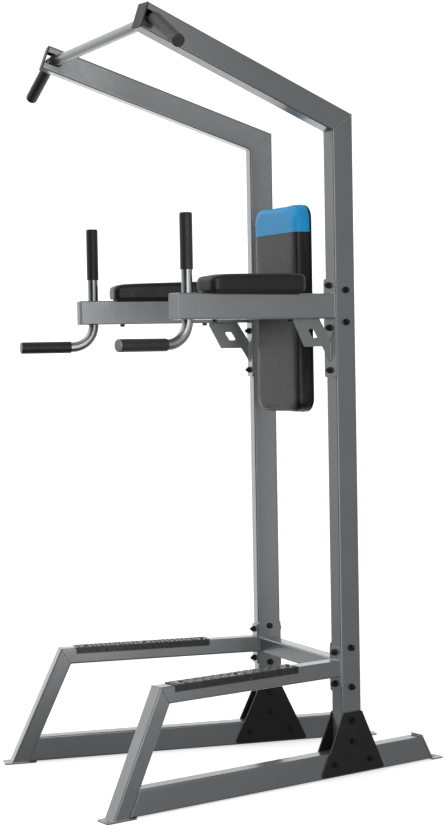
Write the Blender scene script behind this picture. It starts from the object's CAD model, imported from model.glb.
"""Looks of a power tower: paint, rubber, upholstery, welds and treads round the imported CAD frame.

Everything is in metres, in the CAD model's own frame: +Z up, the user faces -Y, +X is the user's
left. Places in a side frame are given as (s forward of the upright, z up, t outward).
"""

import math

import bmesh
import bpy
from mathutils import Matrix, Vector, noise
from mathutils.bvhtree import BVHTree


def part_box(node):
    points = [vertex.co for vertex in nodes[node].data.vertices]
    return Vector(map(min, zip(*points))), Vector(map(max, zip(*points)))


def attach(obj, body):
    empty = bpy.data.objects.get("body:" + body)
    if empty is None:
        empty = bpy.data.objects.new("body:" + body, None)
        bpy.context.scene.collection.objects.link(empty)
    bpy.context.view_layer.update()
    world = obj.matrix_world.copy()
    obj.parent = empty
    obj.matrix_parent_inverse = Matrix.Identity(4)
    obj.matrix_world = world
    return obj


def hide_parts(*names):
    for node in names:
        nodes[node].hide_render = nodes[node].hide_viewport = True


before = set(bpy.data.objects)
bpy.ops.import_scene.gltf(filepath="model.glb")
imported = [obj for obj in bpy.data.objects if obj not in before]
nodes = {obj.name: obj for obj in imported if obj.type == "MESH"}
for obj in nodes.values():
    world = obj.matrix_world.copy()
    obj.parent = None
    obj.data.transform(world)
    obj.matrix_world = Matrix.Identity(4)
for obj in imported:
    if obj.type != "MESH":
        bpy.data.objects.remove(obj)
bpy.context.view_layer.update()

# ---- the side frame's own coordinates ----

SPLAY = math.radians(10)
HALF_SPACING = 0.2625
UPRIGHT_Y = 0.252
TUBE_DEPTH = 0.076
TUBE_WIDTH = 0.050
SMALL_TUBE = 0.050
TUBE_CORNER = 0.005
PLATE = 0.005

FORWARD = Vector((math.sin(SPLAY), -math.cos(SPLAY), 0))
OUTWARD = Vector((math.cos(SPLAY), math.sin(SPLAY), 0))
UP = Vector((0, 0, 1))


def at(s, z, t=0.0):
    """Point in the left side frame."""
    return Vector((HALF_SPACING, UPRIGHT_Y, 0)) + FORWARD * s + OUTWARD * t + UP * z


def heading(degrees_up):
    """Direction in the left side frame, measured up from straight forward."""
    angle = math.radians(degrees_up)
    return FORWARD * math.cos(angle) + UP * math.sin(angle)


# ---- small mesh helpers ----

NEARLY_UPRIGHT = 0.2  # the sine of a line's angle to the vertical


def add_object(name, mesh, material, smooth=True):
    """A new piece that rides on the tower's one body."""
    piece = bpy.data.objects.new(name, mesh)
    bpy.context.scene.collection.objects.link(piece)
    mesh.materials.append(material)
    for face in mesh.polygons:
        face.use_smooth = smooth
    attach(piece, "root")
    return piece


def mesh_from(bm, name):
    """Finish a bmesh as a mesh with its normals outwards."""
    bmesh.ops.recalc_face_normals(bm, faces=bm.faces)
    mesh = bpy.data.meshes.new(name)
    bm.to_mesh(mesh)
    bm.free()
    return mesh


def mirrored(mesh, name):
    """The right-hand twin of a left-hand mesh."""
    bm = bmesh.new()
    bm.from_mesh(mesh)
    bmesh.ops.transform(bm, matrix=Matrix.Diagonal((-1, 1, 1, 1)), verts=bm.verts)
    return mesh_from(bm, name)


def add_pair(name, mesh, material, smooth=True):
    """A left-hand piece and its right-hand twin."""
    twin = mirrored(mesh, f"{name}_right")
    add_object(f"{name}_left", mesh, material, smooth)
    add_object(f"{name}_right", twin, material, smooth)


def rounded_rectangle(width, depth, corner, steps):
    """Outline points of a rectangle with round corners, as (x, y), anticlockwise."""
    points = []
    for quarter, (sx, sy) in enumerate(((1, 1), (-1, 1), (-1, -1), (1, -1))):
        centre_x = sx * (width / 2 - corner)
        centre_y = sy * (depth / 2 - corner)
        for step in range(steps + 1):
            angle = math.radians(90 * (quarter + step / steps))
            x = centre_x + corner * math.cos(angle)
            y = centre_y + corner * math.sin(angle)
            points.append((x, y))
    return points


def resampled(points, pitch, closed):
    """The same line with evenly spaced points."""
    loop = points + [points[0]] if closed else points
    lengths = [0.0]
    for a, b in zip(loop, loop[1:]):
        lengths.append(lengths[-1] + (b - a).length)
    count = max(3, round(lengths[-1] / pitch))
    even, i = [], 0
    for k in range(count if closed else count + 1):
        target = lengths[-1] * k / count
        while i < len(loop) - 2 and lengths[i + 1] < target:
            i += 1
        span = lengths[i + 1] - lengths[i]
        even.append(loop[i].lerp(loop[i + 1], (target - lengths[i]) / span if span else 0))
    return even


def tube_along(bm, points, radii, closed, sides):
    """Add a round tube with a radius for each point."""
    count = len(points)
    rings = []
    for i, point in enumerate(points):
        before = points[i - 1] if closed or i else point
        after = points[(i + 1) % count] if closed or i < count - 1 else point
        tangent = (after - before).normalized()
        across = tangent.cross(UP)
        if across.length < NEARLY_UPRIGHT:
            across = tangent.cross(FORWARD)
        across.normalize()
        other = across.cross(tangent)
        ring = []
        for k in range(sides):
            angle = 2 * math.pi * k / sides
            offset = across * math.cos(angle) + other * math.sin(angle)
            ring.append(bm.verts.new(point + offset * radii[i]))
        rings.append(ring)
    for i in range(count if closed else count - 1):
        here, there = rings[i], rings[(i + 1) % count]
        turn = 0
        if closed and i == count - 1:
            turn = min(range(sides), key=lambda k: (there[k].co - here[0].co).length)
        for k in range(sides):
            bm.faces.new(
                (
                    here[k],
                    here[(k + 1) % sides],
                    there[(k + 1 + turn) % sides],
                    there[(k + turn) % sides],
                )
            )
    if not closed:
        bm.faces.new(rings[0])
        bm.faces.new(rings[-1])


# ---- materials ----


class Shader:
    """A material's node tree, with the few node kinds that are used here."""

    def __init__(self, name):
        self.material = bpy.data.materials.new(name)
        self.material.use_nodes = True
        self.tree = self.material.node_tree
        self.surface = self.tree.nodes["Principled BSDF"]
        self.place = self.node("ShaderNodeTexCoord").outputs["Object"]

    def node(self, kind, **settings):
        """A new node with the given settings."""
        made = self.tree.nodes.new(kind)
        for key, value in settings.items():
            setattr(made, key, value)
        return made

    def link(self, source, target):
        """Feed one socket from another."""
        self.tree.links.new(source, target)

    def noise(self, scale, detail=2.0, roughness=0.5, stretch=None):
        """Noise from 0 to 1; stretch scales the place along X, Y and Z first."""
        made = self.node("ShaderNodeTexNoise")
        made.inputs["Scale"].default_value = scale
        made.inputs["Detail"].default_value = detail
        made.inputs["Roughness"].default_value = roughness
        self.link(self.stretched(stretch), made.inputs["Vector"])
        return made.outputs["Fac"]

    def stretched(self, stretch):
        """The place on the object, scaled along X, Y and Z if a stretch is given."""
        if stretch is None:
            return self.place
        mapping = self.node("ShaderNodeMapping")
        mapping.inputs["Scale"].default_value = stretch
        self.link(self.place, mapping.inputs["Vector"])
        return mapping.outputs["Vector"]

    def cells(self, scale, feature="DISTANCE_TO_EDGE"):
        """Distance to the edges of random cells, as in leather; with F1, to their middles."""
        made = self.node("ShaderNodeTexVoronoi", feature=feature)
        made.inputs["Scale"].default_value = scale
        self.link(self.place, made.inputs["Vector"])
        return made.outputs["Distance"]

    def ramp(self, value, low, high, low_to=0.0, high_to=1.0):
        """Rescale a value, with clamped ends."""
        made = self.node("ShaderNodeMapRange")
        made.inputs["From Min"].default_value = low
        made.inputs["From Max"].default_value = high
        made.inputs["To Min"].default_value = low_to
        made.inputs["To Max"].default_value = high_to
        self.link(value, made.inputs["Value"])
        return made.outputs["Result"]

    def mix(self, factor, first, second):
        """Mix two colours, each a tuple or a socket."""
        made = self.node("ShaderNodeMix", data_type="RGBA")
        self.link(factor, made.inputs["Factor"])
        for socket, value in ((made.inputs["A"], first), (made.inputs["B"], second)):
            if isinstance(value, tuple):
                socket.default_value = (*value, 1)
            else:
                self.link(value, socket)
        return made.outputs["Result"]

    def sum(self, first, second, weight):
        """first + second * weight."""
        made = self.node("ShaderNodeMath", operation="MULTIPLY_ADD")
        self.link(second, made.inputs[0])
        made.inputs[1].default_value = weight
        self.link(first, made.inputs[2])
        return made.outputs[0]

    def rounded_normal(self, radius):
        """The surface's direction, as if its sharp edges were rounded by a radius."""
        bevel = self.node("ShaderNodeBevel", samples=4)
        bevel.inputs["Radius"].default_value = radius
        return bevel.outputs["Normal"]

    def edges(self, radius):
        """1 along sharp edges, 0 on flat faces."""
        rounded = self.rounded_normal(radius)
        geometry = self.node("ShaderNodeNewGeometry")
        dot = self.node("ShaderNodeVectorMath", operation="DOT_PRODUCT")
        self.link(rounded, dot.inputs[0])
        self.link(geometry.outputs["Normal"], dot.inputs[1])
        return self.ramp(dot.outputs["Value"], 0.98, 0.80)

    def facing_up(self):
        """1 on level tops, 0 on upright sides."""
        geometry = self.node("ShaderNodeNewGeometry")
        split = self.node("ShaderNodeSeparateXYZ")
        self.link(geometry.outputs["Normal"], split.inputs[0])
        return self.ramp(split.outputs["Z"], 0.6, 0.95)

    def set(self, **values):
        """Set or link the surface's inputs, named with _ for a space."""
        for key, value in values.items():
            socket = self.surface.inputs[key.replace("_", " ")]
            if isinstance(value, bpy.types.NodeSocket):
                self.link(value, socket)
            elif isinstance(value, tuple):
                socket.default_value = (*value, 1)
            else:
                socket.default_value = value

    def bump(self, height, distance, strength, rounding=0.0):
        """Surface relief; rounding softens the sharp edges of cut plates by that radius."""
        made = self.node("ShaderNodeBump")
        made.inputs["Strength"].default_value = strength
        made.inputs["Distance"].default_value = distance
        self.link(height, made.inputs["Height"])
        if rounding:
            self.link(self.rounded_normal(rounding), made.inputs["Normal"])
        self.link(made.outputs["Normal"], self.surface.inputs["Normal"])


def frame_paint(name, lift):
    """Silver-grey metallic powder coat with fine flecks and slightly worn edges.

    The paint's own colours are multiplied by lift.
    """
    paint = Shader(name)

    def tone(*colour):
        return tuple(lift * channel for channel in colour)

    flecks = paint.ramp(paint.noise(760, 2, 0.6), 0.35, 0.70)
    clouds = paint.ramp(paint.noise(7, 3, 0.6), 0.3, 0.7)
    body = paint.mix(clouds, tone(0.228, 0.235, 0.243), tone(0.254, 0.261, 0.269))
    flecked = paint.mix(flecks, body, tone(0.288, 0.294, 0.301))
    paint.set(
        Base_Color=paint.mix(paint.edges(0.0016), flecked, (0.52, 0.53, 0.54)),
        Metallic=0.74,
        Roughness=paint.ramp(paint.noise(55, 3, 0.6), 0.3, 0.7, 0.27, 0.34),
        Coat_Weight=0.60,
        Coat_Roughness=0.12,
    )
    paint.bump(paint.noise(500, 2, 0.55), 0.0002, 0.16, 0.0012)
    return paint.material


def weld_metal():
    """Weld beads under the paint: the same grey, a little brighter on their ripples."""
    weld = Shader("weld_metal")
    spots = weld.ramp(weld.noise(420, 3, 0.6), 0.35, 0.65)
    weld.set(
        Base_Color=weld.mix(spots, (0.36, 0.365, 0.37), (0.52, 0.525, 0.53)),
        Metallic=0.7,
        Roughness=weld.ramp(weld.noise(300, 2), 0.3, 0.7, 0.28, 0.42),
    )
    weld.bump(weld.noise(800, 2), 0.0002, 0.4)
    return weld.material


def black_paint():
    """Near-black satin powder coat, with an orange-peel surface and thin pale edges."""
    paint = Shader("black_paint")
    body = paint.mix(paint.noise(30, 3), (0.007, 0.007, 0.008), (0.014, 0.014, 0.015))
    paint.set(
        Base_Color=paint.mix(paint.edges(0.0010), body, (0.11, 0.11, 0.11)),
        Metallic=0.0,
        Roughness=paint.ramp(paint.noise(80, 3), 0.3, 0.7, 0.34, 0.45),
        Specular_IOR_Level=0.45,
    )
    paint.bump(paint.noise(700, 2), 0.0003, 0.35, 0.0012)
    return paint.material


def black_steel():
    """Black-oxide bolts and nuts, a little rubbed on the corners."""
    steel = Shader("black_steel")
    body = steel.mix(steel.noise(240, 3), (0.009, 0.009, 0.010), (0.022, 0.022, 0.024))
    steel.set(
        Base_Color=steel.mix(steel.edges(0.0006), body, (0.16, 0.16, 0.165)),
        Metallic=0.55,
        Roughness=steel.ramp(steel.noise(300, 3), 0.3, 0.7, 0.30, 0.48),
    )
    steel.bump(steel.noise(1400, 2), 0.0001, 0.4)
    return steel.material


def bright_steel():
    """Bright zinc-plated tube with fine draw marks and faint smudges."""
    steel = Shader("bright_steel")
    marks = steel.noise(420, 3, 0.6, (1, 1, 0.06))
    smudges = steel.noise(24, 4, 0.6)
    steel.set(
        Base_Color=steel.mix(smudges, (0.31, 0.315, 0.33), (0.40, 0.405, 0.42)),
        Metallic=1.0,
        Roughness=steel.sum(steel.ramp(smudges, 0.3, 0.7, 0.16, 0.26), marks, 0.08),
    )
    steel.bump(marks, 0.00005, 0.3)
    return steel.material


def grip_rubber():
    """Matt black rubber sleeves with a fine pebbled skin."""
    rubber = Shader("grip_rubber")
    pebbles = rubber.cells(900, "F1")
    blotches = rubber.noise(45, 4)
    rubber.set(
        Base_Color=rubber.mix(blotches, (0.008, 0.008, 0.008), (0.018, 0.018, 0.019)),
        Roughness=rubber.ramp(rubber.noise(60, 3), 0.3, 0.7, 0.40, 0.54),
        Specular_IOR_Level=0.5,
        Sheen_Weight=0.10,
        Sheen_Roughness=0.5,
    )
    rubber.bump(rubber.sum(pebbles, rubber.noise(260, 3), 0.8), 0.0003, 0.45)
    return rubber.material


def moulded(name, dark, light, roughness):
    """Moulded plastic with a light spark-eroded grain."""
    plastic = Shader(name)
    colour = plastic.mix(plastic.noise(35, 3), dark, light)
    smears = plastic.noise(90, 3)
    plastic.set(
        Base_Color=colour,
        Roughness=plastic.ramp(smears, 0.3, 0.7, roughness - 0.05, roughness + 0.06),
        Specular_IOR_Level=0.45,
    )
    plastic.bump(plastic.noise(650, 2), 0.0002, 0.3)
    return plastic.material


def tread_rubber():
    """Hard black tread material, dusty in the low places and rubbed on the marks."""
    tread = Shader("tread")
    dust = tread.ramp(tread.noise(60, 5, 0.65), 0.40, 0.62)
    scuffed = tread.node("ShaderNodeMath", operation="MULTIPLY")
    tread.link(dust, scuffed.inputs[0])
    tread.link(tread.facing_up(), scuffed.inputs[1])
    body = tread.mix(dust, (0.016, 0.016, 0.017), (0.030, 0.030, 0.030))
    body = tread.mix(scuffed.outputs[0], body, (0.150, 0.150, 0.148))
    tread.set(
        Base_Color=tread.mix(tread.edges(0.0008), body, (0.075, 0.075, 0.075)),
        Roughness=tread.ramp(tread.noise(70, 3), 0.3, 0.7, 0.19, 0.34),
        Specular_IOR_Level=0.6,
    )
    tread.bump(tread.noise(520, 3), 0.0002, 0.2)
    return tread.material


def vinyl(name, dark, light, roughness, grain, depth):
    """Upholstery vinyl with an embossed leather grain and soft creases."""
    skin = Shader(name)
    creases = skin.noise(26, 5, 0.6)
    pores = skin.ramp(skin.cells(grain), 0.0, 0.22)
    tone = skin.mix(creases, dark, light)
    colour = skin.mix(pores, dark, tone)
    smears = skin.noise(60, 4)
    skin.set(
        Base_Color=colour,
        Roughness=skin.ramp(smears, 0.3, 0.7, roughness - 0.05, roughness + 0.08),
        Specular_IOR_Level=0.5,
        Sheen_Weight=0.05,
        Sheen_Roughness=0.4,
    )
    height = skin.sum(pores, skin.noise(grain * 1.7, 2), 0.5)
    skin.bump(skin.sum(height, creases, 1.6), depth, 0.32)
    return skin.material


def hard_board():
    """Black-stained plywood with a faint grain along its length."""
    board = Shader("board")
    grain = board.noise(60, 4, 0.6, (6, 6, 0.5))
    board.set(
        Base_Color=board.mix(grain, (0.008, 0.008, 0.008), (0.020, 0.019, 0.018)),
        Roughness=board.ramp(grain, 0.3, 0.7, 0.55, 0.7),
    )
    board.bump(grain, 0.0003, 0.4)
    return board.material


finishes = {
    "frame_paint": frame_paint("frame_paint", 1.0),
    "arm_paint": frame_paint("arm_paint", 1.18),
    "weld_metal": weld_metal(),
    "black_paint": black_paint(),
    "black_steel": black_steel(),
    "bright_steel": bright_steel(),
    "grip_rubber": grip_rubber(),
    "black_plastic": moulded(
        "black_plastic", (0.014, 0.014, 0.014), (0.022, 0.022, 0.022), roughness=0.42
    ),
    "grey_plastic": moulded(
        "grey_plastic", (0.325, 0.331, 0.338), (0.390, 0.396, 0.403), roughness=0.36
    ),
    "light_plastic": moulded(
        "light_plastic", (0.24, 0.25, 0.26), (0.30, 0.31, 0.32), roughness=0.38
    ),
    "tread": tread_rubber(),
    "vinyl": vinyl(
        "vinyl",
        (0.005, 0.005, 0.005),
        (0.011, 0.011, 0.011),
        roughness=0.32,
        grain=520,
        depth=0.00035,
    ),
    "blue_vinyl": vinyl(
        "blue_vinyl",
        (0.003, 0.400, 0.860),
        (0.006, 0.470, 0.960),
        roughness=0.42,
        grain=640,
        depth=0.0004,
    ),
    "board": hard_board(),
}

# Each CAD node's slot is named after its finish.
for piece in nodes.values():
    for kept in piece.material_slots:
        kept.material = finishes[kept.material.name.split(".")[0]]

# The arms and their braces look slightly lighter than the rest of the frame.
for arm_piece in ("arm_left", "arm_right", "arm_brace_left", "arm_brace_right"):
    for kept in nodes[arm_piece].material_slots:
        kept.material = finishes["arm_paint"]

# ---- camera ----

CAMERA_PLACE = (4.9954, -2.4406, 1.3064)
CAMERA_YAW = math.radians(64.175)
CAMERA_PITCH_DOWN = math.radians(2.058)
CAMERA_ROLL = math.radians(-1.032)
CAMERA_LENS = 77.72
SENSOR = 36.0


def add_camera():
    """A camera in front of the tower and to its left, a little above its middle."""
    camera = bpy.data.objects.new("camera", bpy.data.cameras.new("camera"))
    bpy.context.scene.collection.objects.link(camera)
    camera.data.sensor_fit = "AUTO"
    camera.data.sensor_width = SENSOR
    camera.data.lens = CAMERA_LENS
    turned = Matrix.Rotation(CAMERA_YAW, 4, "Z")
    tilted = Matrix.Rotation(math.pi / 2 - CAMERA_PITCH_DOWN, 4, "X")
    rolled = Matrix.Rotation(CAMERA_ROLL, 4, "Z")
    camera.matrix_world = Matrix.Translation(CAMERA_PLACE) @ turned @ tilted @ rolled
    bpy.context.scene.camera = camera


add_camera()

# ---- studio ----

CAMERA_AWAY = math.degrees(CAMERA_YAW) + 90
RAISED = 40
# Each soft light's turn clockwise from where the camera looks, its height angle and its strength.
WORLD_LIGHTS = (
    (0, 0, 1.15),
    (0, -RAISED, 1.05),
    (0, 90, 0.50),
    (45, RAISED, 0.35),
    (45, 0, 0.60),
    (45, -RAISED, 0.45),
    (90, RAISED, 0.10),
    (90, 0, 0.30),
    (135, 0, 0.50),
    (180, RAISED, 0.30),
    (225, RAISED, 0.20),
    (270, RAISED, 1.65),
    (270, 0, 0.30),
    (315, RAISED, 0.80),
    (315, 0, 0.85),
)
LOBE_POWER = 8.0
FLOOR_HALF_SIZE = 60
FLOOR_GLOW = 0.62
STRIP_WIDTH, STRIP_HEIGHT = 0.7, 2.6
STRIP_Z = 1.3


def add_floor():
    """Pale paper that glows faintly, so it meets the white background without a horizon."""
    bm = bmesh.new()
    bmesh.ops.create_grid(bm, x_segments=1, y_segments=1, size=FLOOR_HALF_SIZE)
    floor = bpy.data.objects.new("studio_floor", mesh_from(bm, "studio_floor"))
    bpy.context.scene.collection.objects.link(floor)
    paper = Shader("studio_floor")
    paper.set(
        Base_Color=paper.mix(paper.noise(2, 3), (0.90, 0.90, 0.90), (0.93, 0.93, 0.93)),
        Roughness=0.9,
        Specular_IOR_Level=0.1,
        Emission_Color=(1.0, 1.0, 1.0),
        Emission_Strength=FLOOR_GLOW,
    )
    floor.data.materials.append(paper.material)
    floor.visible_diffuse = False
    floor.visible_glossy = False


def add_world():
    """Large soft lights all round, and plain white where the camera looks past the object."""
    world = bpy.data.worlds.new("studio")
    bpy.context.scene.world = world
    world.use_nodes = True
    tree = world.node_tree

    def math_node(operation, first, second, third=0.0):
        made = tree.nodes.new("ShaderNodeMath")
        made.operation = operation
        for socket, value in zip(made.inputs, (first, second, third)):
            if isinstance(value, bpy.types.NodeSocket):
                tree.links.new(value, socket)
            else:
                socket.default_value = value
        return made.outputs[0]

    toward = tree.nodes.new("ShaderNodeTexCoord").outputs["Generated"]
    total = None
    for turn, height, power in WORLD_LIGHTS:
        azimuth = math.radians(CAMERA_AWAY - turn)
        height = math.radians(height)
        dot = tree.nodes.new("ShaderNodeVectorMath")
        dot.operation = "DOT_PRODUCT"
        dot.inputs[1].default_value = (
            math.cos(azimuth) * math.cos(height),
            math.sin(azimuth) * math.cos(height),
            math.sin(height),
        )
        tree.links.new(toward, dot.inputs[0])
        lobe = math_node("POWER", math_node("MAXIMUM", dot.outputs["Value"], 0.0), LOBE_POWER)
        total = math_node("MULTIPLY_ADD", lobe, power, total if total else 0.0)
    path = tree.nodes.new("ShaderNodeLightPath")
    seen = math_node("MAXIMUM", total, path.outputs["Is Camera Ray"])
    background = tree.nodes["Background"]
    background.inputs["Color"].default_value = (1, 1, 1, 1)
    tree.links.new(seen, background.inputs["Strength"])


def add_strip(name, x, y, power):
    """An upright strip light on the tower's left that shines straight across it."""
    light = bpy.data.lights.new(name, "AREA")
    light.shape = "RECTANGLE"
    light.size = STRIP_WIDTH
    light.size_y = STRIP_HEIGHT
    light.energy = power
    lamp = bpy.data.objects.new(name, light)
    bpy.context.scene.collection.objects.link(lamp)
    lamp.location = (x, y, STRIP_Z)
    lamp.visible_camera = False
    lamp.rotation_euler = Vector((-x, 0, 0)).to_track_quat("-Z", "Y").to_euler()


add_floor()
add_world()
add_strip("near_strip", x=1.6, y=-0.5, power=12.5)
add_strip("rear_strip", x=1.5, y=0.35, power=3.0)
bpy.context.scene.view_settings.view_transform = "Standard"

# ---- weld beads ----

FRAME_BEAD = 0.0016
PLATE_BEAD = 0.0018
BEAD_PITCH = 0.9  # in bead radii
RIPPLE_BEATS = 3
CORNER_STEPS = 3


def bead(bm, points, radius, closed=True):
    """A rippled weld bead that follows a line, half sunk in the metal."""
    line = resampled(points, radius * BEAD_PITCH, closed)
    radii = []
    for i, point in enumerate(line):
        ripple = 0.05 * math.cos(i * 2 * math.pi / RIPPLE_BEATS)
        drift = 0.16 * noise.noise(point * 70)
        radii.append(radius * (0.95 + ripple + drift))
    tube_along(bm, line, radii, closed, sides=6)


def tube_section(origin, direction, width, depth, plane_point, plane_normal):
    """Outline of a side-frame tube where it meets a plane."""
    across = OUTWARD
    other = direction.cross(across)
    points = []
    for x, y in rounded_rectangle(width, depth, TUBE_CORNER, CORNER_STEPS):
        start = origin + across * x + other * y
        run = (plane_point - start).dot(plane_normal) / direction.dot(plane_normal)
        points.append(start + direction * run)
    return points


BOOM_ROOT = at(0, 1.985)
BOOM_RISE = 20
STEP_Z = 0.333
LEG_ROOT = at(0.682, STEP_Z)
LEG_SLANT = 25
LEG_HEADING = heading(LEG_SLANT - 90)
RAIL_MIDDLE = 0.042
RAIL_REAR = at(-0.3055, RAIL_MIDDLE)
RAIL_REAR_SLANT = 28
FOOT_PLATE = 0.004
ARM_Z = 1.432
BRACE_WELD_S = (0.090, 0.180)
BRACE_WELD_Z = (1.268, 1.324)
PLATE_S = TUBE_DEPTH / 2 + PLATE
LOWER_CROSSBAR_Y = -0.015


def frame_welds():
    """The welds of one side frame: each a tube, and the plane where it meets its neighbour."""
    bm = bmesh.new()
    leg_face = LEG_ROOT - heading(LEG_SLANT) * SMALL_TUBE / 2
    rail_middle = at(0, RAIL_MIDDLE)
    rear_end = heading(-RAIL_REAR_SLANT)
    loops = (
        (BOOM_ROOT, UP, TUBE_WIDTH, TUBE_DEPTH, BOOM_ROOT, heading(BOOM_RISE) + UP),
        (LEG_ROOT, FORWARD, SMALL_TUBE, SMALL_TUBE, LEG_ROOT, FORWARD + LEG_HEADING),
        (rail_middle, FORWARD, TUBE_WIDTH, TUBE_DEPTH, leg_face, heading(LEG_SLANT)),
        (LEG_ROOT, LEG_HEADING, SMALL_TUBE, SMALL_TUBE, at(0, FOOT_PLATE), UP),
        (at(0, STEP_Z), FORWARD, SMALL_TUBE, SMALL_TUBE, at(PLATE_S, 0), FORWARD),
        (at(0, ARM_Z), FORWARD, TUBE_WIDTH, TUBE_DEPTH, at(PLATE_S, 0), FORWARD),
        (rail_middle, FORWARD, TUBE_WIDTH, TUBE_DEPTH, RAIL_REAR, rear_end),
    )
    for loop in loops:
        bead(bm, tube_section(*loop), FRAME_BEAD)
    return mesh_from(bm, "frame_welds_left")


def brace_welds():
    """Short welds along both sides of the arm brace, under the arm and down the arm plate."""
    bm = bmesh.new()
    arm_bottom = ARM_Z - TUBE_DEPTH / 2
    for t in (-PLATE / 2, PLATE / 2):
        under_arm = [at(s, arm_bottom, t) for s in BRACE_WELD_S]
        down_plate = [at(PLATE_S, z, t) for z in BRACE_WELD_Z]
        bead(bm, under_arm, PLATE_BEAD, closed=False)
        bead(bm, down_plate, PLATE_BEAD, closed=False)
    return mesh_from(bm, "brace_welds_left")


def crossbar_welds():
    """Welds where both crossbars meet their end plates."""
    bm = bmesh.new()
    plate_face = at(0, 0, -TUBE_WIDTH / 2 - PLATE)
    for y_offset, z in ((LOWER_CROSSBAR_Y, STEP_Z), (0.0, ARM_Z)):
        points = []
        for y, height in rounded_rectangle(SMALL_TUBE, SMALL_TUBE, TUBE_CORNER, CORNER_STEPS):
            start = Vector((0, UPRIGHT_Y + y_offset + y, z + height))
            run = (plate_face - start).dot(OUTWARD) / OUTWARD.x
            points.append(start + Vector((run, 0, 0)))
        bead(bm, points, PLATE_BEAD)
    return mesh_from(bm, "crossbar_welds_left")


add_pair("frame_welds", frame_welds(), finishes["weld_metal"])
add_pair("brace_welds", brace_welds(), finishes["weld_metal"])
add_pair("crossbar_welds", crossbar_welds(), finishes["weld_metal"])

# ---- bushings that hold the pull-up bar in the booms' notches ----

BOOM_LENGTH = 0.750
BAR_RADIUS = 0.016
BAR_SETBACK = 0.032
NOTCH_RADIUS = 0.018
NOTCH_DEPTH = 0.037
BUSHING_FRONT = 0.029
BUSHING_GAP = 0.0002
BUSHING_LIP = 0.0015
BUSHING_STEPS = 64


def notch_bushing():
    """A moulded block in the notch; the bar runs through it level, straight across the tower."""
    along, across = heading(BOOM_RISE), heading(BOOM_RISE + 90)
    end = BOOM_ROOT + along * BOOM_LENGTH
    bar_axis = Vector((1, 0, 0)) / OUTWARD.x
    outer = NOTCH_RADIUS - BUSHING_GAP
    inner = BAR_RADIUS + BUSHING_GAP
    steps = BUSHING_STEPS
    bm = bmesh.new()
    loops = []
    for side in (-1, 1):
        t = side * (TUBE_WIDTH / 2 + BUSHING_LIP)
        block, hole = [], []
        for k in range(steps):
            angle = 2 * math.pi * (k + 0.5) / steps
            spoke = across * math.sin(angle) - along * math.cos(angle)
            depth = NOTCH_DEPTH if math.cos(angle) > 0 else BUSHING_FRONT
            block.append(bm.verts.new(end - along * depth + spoke * outer + OUTWARD * t))
            centre = end - along * BAR_SETBACK + bar_axis * t
            hole.append(bm.verts.new(centre + spoke * inner))
        loops.append((block, hole))
    (low_block, low_hole), (high_block, high_hole) = loops
    for k in range(steps):
        after = (k + 1) % steps
        bm.faces.new((low_block[k], low_block[after], high_block[after], high_block[k]))
        bm.faces.new((low_hole[after], low_hole[k], high_hole[k], high_hole[after]))
        bm.faces.new((low_block[after], low_block[k], low_hole[k], low_hole[after]))
        bm.faces.new((high_block[k], high_block[after], high_hole[after], high_hole[k]))
    return mesh_from(bm, "notch_bushing_left")


add_pair("notch_bushing", notch_bushing(), finishes["black_plastic"], False)

# ---- threads on the bolt tips that stand out of their nuts ----

THREAD_PITCH = 0.0015
THREAD_RADIUS = 0.0050
THREAD_TURNS = 3.2
THREAD_RIDGE = 0.00042
THREAD_STEPS = 14
THREAD_CLEARANCE = 0.0004
NUT_HEIGHT = 0.009
FRONT_BOLTS_Z = (0.285, 0.381, 1.239, 1.367, 1.495)
CROSSBAR_BOLTS_Z = (0.273, 0.393, 1.3835, 1.4805)
GUSSET_BOLTS = ((0.0, 0.106), (0.0, 0.170), (-0.070, 0.044), (0.070, 0.044))


def thread(bm, start, axis):
    """A right-handed ridge wound round a bolt's tip."""
    across = axis.orthogonal().normalized()
    other = axis.cross(across)
    points = []
    for k in range(int(THREAD_TURNS * THREAD_STEPS) + 1):
        angle = 2 * math.pi * k / THREAD_STEPS
        turn = across * math.cos(angle) + other * math.sin(angle)
        rise = axis * (THREAD_PITCH * k / THREAD_STEPS)
        points.append(start + turn * THREAD_RADIUS + rise)
    tube_along(bm, points, [THREAD_RIDGE] * len(points), closed=False, sides=5)


def bolt_threads():
    """Ridges on every tip: in front of the uprights, outside them and inside the gussets."""
    nut_top_s = PLATE_S + NUT_HEIGHT + THREAD_CLEARANCE
    seats = [(at(nut_top_s, z), FORWARD) for z in FRONT_BOLTS_Z]
    side = TUBE_WIDTH / 2 + NUT_HEIGHT + THREAD_CLEARANCE
    seats += [(at(0, z, side), OUTWARD) for z in CROSSBAR_BOLTS_Z]
    seats += [(at(s, z, -side - PLATE), -OUTWARD) for s, z in GUSSET_BOLTS]
    bm = bmesh.new()
    for start, axis in seats:
        for flip in (1, -1):
            mirror = Vector((flip, 1, 1))
            thread(bm, start * mirror, axis * mirror)
    mesh = mesh_from(bm, "bolt_threads")
    add_object("bolt_threads", mesh, finishes["black_steel"])


bolt_threads()

# ---- treads of the step covers ----

COVER_REAR_S = 0.206
COVER_FRONT_S = 0.648
COVER_WALL = 0.003
COVER_TOP = STEP_Z + SMALL_TUBE / 2 + COVER_WALL
COVER_SCREWS_S = (0.226, 0.419, 0.612)
MARK_PITCH = 0.0150
MARK_ROWS = (-0.0165, 0.0, 0.0165)
MARK_MARGIN = 0.010
MARK_SIDES = 12
SCREW_CLEARANCE = 0.012
SIDE_MARK_DROP = 0.0115
TOP_MARK_SIZE = (0.0155, 0.0042, 0.0013)
SIDE_MARK_SIZE = (0.0140, 0.0034, 0.0009)


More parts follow.
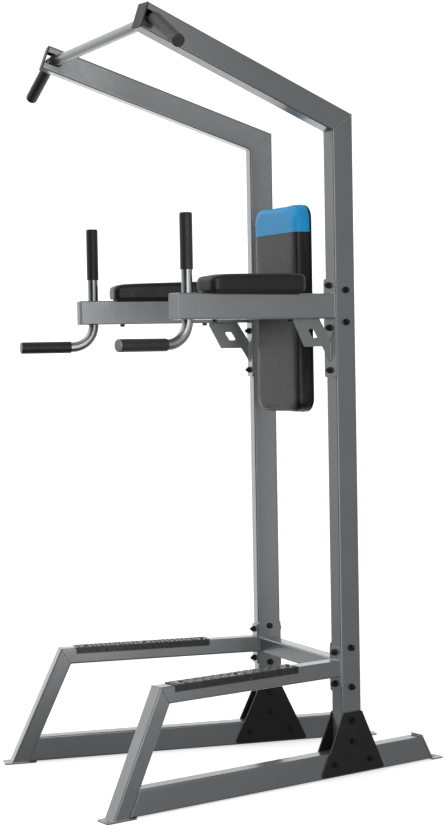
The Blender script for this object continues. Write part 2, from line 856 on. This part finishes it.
def lozenge(bm, centre, along, normal, size):
    """A raised mark with a rounded ridge, pointed at both ends."""
    length, width, height = size
    across = normal.cross(along).normalized()
    rings = []
    for lift, shrink in ((-0.0006, 1.0), (0.55 * height, 0.86), (height, 0.45)):
        ring = []
        for k in range(MARK_SIDES):
            angle = 2 * math.pi * k / MARK_SIDES
            reach = along * math.cos(angle) * length / 2 * (0.5 + 0.5 * shrink)
            pointed = math.copysign(abs(math.sin(angle)) ** 1.3, math.sin(angle))
            side = across * pointed * width / 2 * shrink
            ring.append(bm.verts.new(centre + reach + side + normal * lift))
        rings.append(ring)
    for low, high in zip(rings, rings[1:]):
        for k in range(MARK_SIDES):
            after = (k + 1) % MARK_SIDES
            bm.faces.new((low[k], low[after], high[after], high[k]))
    bm.faces.new(rings[0])
    bm.faces.new(rings[-1])


def cover_marks():
    """Slanting marks in rows on a cover's top, but not on its screws, and along both sides."""
    bm = bmesh.new()
    run = COVER_FRONT_S - COVER_REAR_S - 2 * MARK_MARGIN
    count = int(run / MARK_PITCH)
    for i in range(count + 1):
        s = COVER_REAR_S + MARK_MARGIN + i * run / count
        for row, t in enumerate(MARK_ROWS):
            if t == 0 and min(abs(s - screw) for screw in COVER_SCREWS_S) < SCREW_CLEARANCE:
                continue
            lean = math.radians(45 if (i + row) % 2 else -45)
            direction = FORWARD * math.cos(lean) + OUTWARD * math.sin(lean)
            lozenge(bm, at(s, COVER_TOP, t), direction, UP, TOP_MARK_SIZE)
        if i % 2 == 0:
            for side in (-1, 1):
                wall = side * (SMALL_TUBE / 2 + COVER_WALL)
                face = at(s, COVER_TOP - SIDE_MARK_DROP, wall)
                lozenge(bm, face, heading(50), OUTWARD * side, SIDE_MARK_SIZE)
    return mesh_from(bm, "step_cover_marks_left")


add_pair("step_cover_marks", cover_marks(), finishes["tread"])

# ---- upholstery ----

BACK_LOW, BACK_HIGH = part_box("backrest_cushion")
BACK_MIDDLE_Y = (BACK_HIGH.y + BACK_LOW.y) / 2
BACK_MIDDLE_Z = (BACK_HIGH.z + BACK_LOW.z) / 2
BACK_WIDTH = BACK_HIGH.x - BACK_LOW.x
BACK_HEIGHT = BACK_HIGH.z - BACK_LOW.z
BACK_CORNER = 0.048
BAND_HEIGHT = 0.0888
BAND_SEAM_Z = BACK_HIGH.z - BAND_HEIGHT
BOARD_BACK_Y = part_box("backrest_board")[1].y
SEAM_RADIUS = 0.0011
SEAM_PITCH = 0.003
HEM_THICKNESS = 0.0006
HEM_PITCH = 0.004
HEM_FOLD = 0.0007
HEM_RAGGEDNESS = 0.0014
STAPLE_PITCH = 0.034
STAPLE_INSET = 0.016
STAPLE_BEHIND = 0.0022
STAPLE_HALF = 0.005
STAPLE_RAISE = 0.0004
STAPLE_WIRE = 0.00045

PAD_LOW, PAD_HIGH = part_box("arm_pad_left")
PAD_REAR_S = 0.164
PAD_FRONT_S = 0.504
PAD_WIDTH = 0.103
PAD_CORNER = 0.021
PAD_DROOP = 0.010
PAD_DROOP_RUN = 0.110

# Of all three cushions: how they are shaped before the simulation, held in it and eased after it.
FRONT_EDGE = 0.012
BACK_EDGE = 0.004
CROWN = 0.003
BOARD_GAP = 0.0005
VOXEL = 0.005
HELD_DEPTH = 0.004
PRESSURE = 4.0
SWELL_FRAMES = 20
SWELL_LIMIT = 0.005
EVENING_ROUNDS = 24
RELAXING_ROUNDS = 3


def slab(outline_at, levels):
    """Closed stack of outlines; levels are (inset, height) from the base to the crown."""
    bm = bmesh.new()
    rings = []
    for inset, height in levels:
        rings.append([bm.verts.new(point) for point in outline_at(inset, height)])
    for low, high in zip(rings, rings[1:]):
        for k in range(len(low)):
            after = (k + 1) % len(low)
            bm.faces.new((low[k], low[after], high[after], high[k]))
    bm.faces.new(rings[0])
    bm.faces.new(rings[-1])
    return bm


def rounded_levels(depth):
    """(inset, height) pairs of a slab with rounded edges, from its back to its front."""
    levels = [(BACK_EDGE, 0.0), (BACK_EDGE * 0.3, BACK_EDGE * 0.3), (0.0, BACK_EDGE)]
    steps = 5
    for step in range(steps + 1):
        angle = math.pi / 2 * step / steps
        inset = FRONT_EDGE * (1 - math.cos(angle))
        levels.append((inset, depth - FRONT_EDGE + FRONT_EDGE * math.sin(angle)))
    return levels


def remeshed(name, bm):
    """The slab as an evenly meshed object, ready to be simulated."""
    piece = bpy.data.objects.new(name, mesh_from(bm, name))
    bpy.context.scene.collection.objects.link(piece)
    modifier = piece.modifiers.new("even", "REMESH")
    modifier.mode = "VOXEL"
    modifier.voxel_size = VOXEL
    apply_modifiers(piece)
    return piece


def apply_modifiers(piece):
    """Replace a piece's mesh with what its modifiers make of it."""
    view = bpy.context.evaluated_depsgraph_get()
    made = bpy.data.meshes.new_from_object(piece.evaluated_get(view))
    piece.modifiers.clear()
    piece.data = made


def inflate(piece, held):
    """Swell a closed piece by cloth simulation; held(point) says which points stay put."""
    pinned = piece.vertex_groups.new(name="held")
    for vertex in piece.data.vertices:
        pinned.add([vertex.index], 1.0 if held(vertex.co) else 0.0, "REPLACE")
    cloth = piece.modifiers.new("swell", "CLOTH")
    cloth.settings.quality = 5
    cloth.settings.use_pressure = True
    cloth.settings.uniform_pressure_force = PRESSURE
    cloth.settings.vertex_group_mass = "held"
    cloth.settings.effector_weights.gravity = 0
    cloth.settings.shrink_min = -0.008
    cloth.settings.tension_stiffness = 14
    cloth.settings.compression_stiffness = 14
    cloth.settings.bending_stiffness = 4
    cloth.point_cache.frame_start = 1
    cloth.point_cache.frame_end = SWELL_FRAMES
    scene = bpy.context.scene
    for number in range(1, SWELL_FRAMES + 1):
        scene.frame_set(number)
    view = bpy.context.evaluated_depsgraph_get()
    swollen = piece.evaluated_get(view).to_mesh()
    moves = [new.co - old.co for new, old in zip(swollen.vertices, piece.data.vertices)]
    piece.evaluated_get(view).to_mesh_clear()
    piece.modifiers.clear()
    for vertex, move in zip(piece.data.vertices, evened(piece.data, moves)):
        if move.length > SWELL_LIMIT:
            move *= SWELL_LIMIT / move.length
        vertex.co += move
    scene.frame_set(1)


def evened(mesh, moves):
    """Average each point's move with its neighbours': the fullness stays, the ripples go."""
    for _ in range(EVENING_ROUNDS):
        totals = [move.copy() for move in moves]
        counts = [1] * len(moves)
        for edge in mesh.edges:
            a, b = edge.vertices
            totals[a] += moves[b]
            totals[b] += moves[a]
            counts[a] += 1
            counts[b] += 1
        moves = [total / count for total, count in zip(totals, counts)]
    return moves


def smooth_and_divide(piece):
    """Relax the voxel steps away and subdivide once."""
    relax = piece.modifiers.new("relax", "SMOOTH")
    relax.factor = 0.5
    relax.iterations = RELAXING_ROUNDS
    divide = piece.modifiers.new("divide", "SUBSURF")
    divide.levels = 1
    divide.render_levels = 1
    apply_modifiers(piece)


def finish_pad(piece, materials, node):
    """Cover a cushion, and say which CAD solid it stands for."""
    for material in materials:
        piece.data.materials.append(material)
    for face in piece.data.polygons:
        face.use_smooth = True
    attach(piece, "root")
    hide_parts(node)


def surface_of(piece):
    """A tree for finding points on a piece's surface."""
    bm = bmesh.new()
    bm.from_mesh(piece.data)
    tree = BVHTree.FromBMesh(bm)
    bm.free()
    return tree


def loop_on(tree, centre, first, second, count, lift):
    """Points where rays from a centre, in one plane, leave a surface, lifted off it."""
    points = []
    for k in range(count):
        angle = 2 * math.pi * k / count
        ray = first * math.cos(angle) + second * math.sin(angle)
        hit, normal, _, _ = tree.ray_cast(centre, ray)
        if hit is not None:
            points.append(hit + normal * lift)
    return points


def backrest():
    """The backrest cushion, with a blue cap sewn to a charcoal body."""
    depth = BACK_HIGH.y - BACK_LOW.y - CROWN

    def outline(inset, rise):
        corner = BACK_CORNER - min(inset, 0.02)
        points = rounded_rectangle(BACK_WIDTH - 2 * inset, BACK_HEIGHT - 2 * inset, corner, 8)
        y = BACK_HIGH.y - BOARD_GAP - rise
        return [(x, y, BACK_MIDDLE_Z + z) for x, z in points]

    piece = remeshed("backrest_upholstery", slab(outline, rounded_levels(depth)))
    inflate(piece, lambda point: point.y > BACK_HIGH.y - HELD_DEPTH)
    smooth_and_divide(piece)
    bm = bmesh.new()
    bm.from_mesh(piece.data)
    everything = bm.verts[:] + bm.edges[:] + bm.faces[:]
    bmesh.ops.bisect_plane(bm, geom=everything, plane_co=(0, 0, BAND_SEAM_Z), plane_no=UP)
    for face in bm.faces:
        face.material_index = 1 if face.calc_center_median().z > BAND_SEAM_Z else 0
    bm.to_mesh(piece.data)
    bm.free()
    finish_pad(piece, (finishes["vinyl"], finishes["blue_vinyl"]), "backrest_cushion")
    return piece


def cap_seam(piece):
    """The thin welt under the backrest's blue cap."""
    centre = Vector((0, BACK_MIDDLE_Y, BAND_SEAM_Z))
    sideways, backwards = Vector((1, 0, 0)), Vector((0, 1, 0))
    band = loop_on(surface_of(piece), centre, sideways, backwards, count=220, lift=-0.0004)
    line = resampled(band, SEAM_PITCH, closed=True)
    bm = bmesh.new()
    tube_along(bm, line, [SEAM_RADIUS] * len(line), closed=True, sides=6)
    add_object("backrest_cap_seam", mesh_from(bm, "backrest_cap_seam"), finishes["vinyl"])


def arm_pad():
    """The left elbow pad: rounded front corners and a crowned top that falls towards the front."""
    length = PAD_FRONT_S - PAD_REAR_S
    depth = PAD_HIGH.z - PAD_LOW.z - CROWN
    middle_s = (PAD_FRONT_S + PAD_REAR_S) / 2

    def outline(inset, rise):
        points = []
        corner = PAD_CORNER - min(inset, PAD_CORNER / 2)
        for x, y in rounded_rectangle(length - 2 * inset, PAD_WIDTH - 2 * inset, corner, 8):
            towards_front = max(0.0, (x - length / 2 + PAD_DROOP_RUN) / PAD_DROOP_RUN)
            droop = PAD_DROOP * towards_front**2 * rise / depth
            points.append(at(middle_s + x, PAD_LOW.z + BOARD_GAP + rise - droop, y))
        return points

    piece = remeshed("arm_pad_upholstery_left", slab(outline, rounded_levels(depth)))
    inflate(piece, lambda point: point.z < PAD_LOW.z + HELD_DEPTH)
    smooth_and_divide(piece)
    return piece


def arm_pads():
    """Both elbow pads; the right one is the left one's mirror image."""
    left = arm_pad()
    right = bpy.data.objects.new("arm_pad_upholstery_right", mirrored(left.data, "arm_pad_right"))
    bpy.context.scene.collection.objects.link(right)
    finish_pad(left, (finishes["vinyl"],), "arm_pad_left")
    finish_pad(right, (finishes["vinyl"],), "arm_pad_right")


# How far each ring of the hem is inside the cushion's outline and behind the board, and how
# much it is gathered.
HEM_RINGS = (
    (0.0045, -0.0060, 0.0),
    (0.0020, -0.0040, 0.0),
    (0.0030, -0.0002, 0.0),
    (0.0060, 0.0012, 0.3),
    (0.0240, 0.0014, 1.0),
    (0.0245, -0.0002, 1.0),
)


def behind_board(inset, behind, corner_steps, pitch):
    """Evenly spaced points round the cushion's back, inside its outline."""
    width, height = BACK_WIDTH - 2 * inset, BACK_HEIGHT - 2 * inset
    outline = rounded_rectangle(width, height, BACK_CORNER - inset, corner_steps)
    y = BOARD_BACK_Y + behind
    points = [Vector((x, y, BACK_MIDDLE_Z + z)) for x, z in outline]
    return resampled(points, pitch, closed=True)


def backrest_hem():
    """The cover's raw edge, pulled round the board and gathered flat on its back."""
    rings = []
    bm = bmesh.new()
    for inset, behind, gather in HEM_RINGS:
        ring = []
        for k, point in enumerate(behind_board(inset, behind, 24, HEM_PITCH)):
            from_side = abs(point.x) - BACK_WIDTH / 2
            from_end = abs(point.z - BACK_MIDDLE_Z) - BACK_HEIGHT / 2
            corner = max(0.0, 1 - math.hypot(from_side, from_end) / 0.07)
            fold = HEM_FOLD * corner * math.sin(2 * math.pi * k / 3) * gather
            ragged = HEM_RAGGEDNESS * noise.noise(Vector((point.x, 0, point.z)) * 60) * gather
            out = Vector((point.x, 0, point.z - BACK_MIDDLE_Z)).normalized()
            ring.append(bm.verts.new(point + Vector((0, abs(fold), 0)) + out * ragged))
        rings.append(ring)
    for low, high in zip(rings, rings[1:]):
        join_rings(bm, low, high)
    mesh = mesh_from(bm, "backrest_cover_hem")
    hem = add_object("backrest_cover_hem", mesh, finishes["vinyl"])
    thicken = hem.modifiers.new("thicken", "SOLIDIFY")
    thicken.thickness = HEM_THICKNESS


def join_rings(bm, first, second):
    """Stitch two rings of points that may differ in number."""
    i = j = 0
    a, b = len(first), len(second)
    while i < a or j < b:
        if j == b or (i < a and i * b <= j * a):
            bm.faces.new((first[i % a], first[(i + 1) % a], second[j % b]))
            i += 1
        else:
            bm.faces.new((first[i % a], second[(j + 1) % b], second[j % b]))
            j += 1


def backrest_staples():
    """Staples that hold the hem, in a row along it."""
    line = behind_board(STAPLE_INSET, STAPLE_BEHIND, 12, STAPLE_PITCH)
    raised = Vector((0, STAPLE_RAISE, 0))
    bm = bmesh.new()
    for k, point in enumerate(line):
        along = (line[(k + 1) % len(line)] - line[k - 1]).normalized() * STAPLE_HALF
        crown = [point - along, point - along * 0.9 + raised]
        crown += [point + along * 0.9 + raised, point + along]
        tube_along(bm, crown, [STAPLE_WIRE] * len(crown), closed=False, sides=6)
    mesh = mesh_from(bm, "backrest_staples")
    add_object("backrest_staples", mesh, finishes["bright_steel"])


cap_seam(backrest())
backrest_hem()
backrest_staples()
arm_pads()
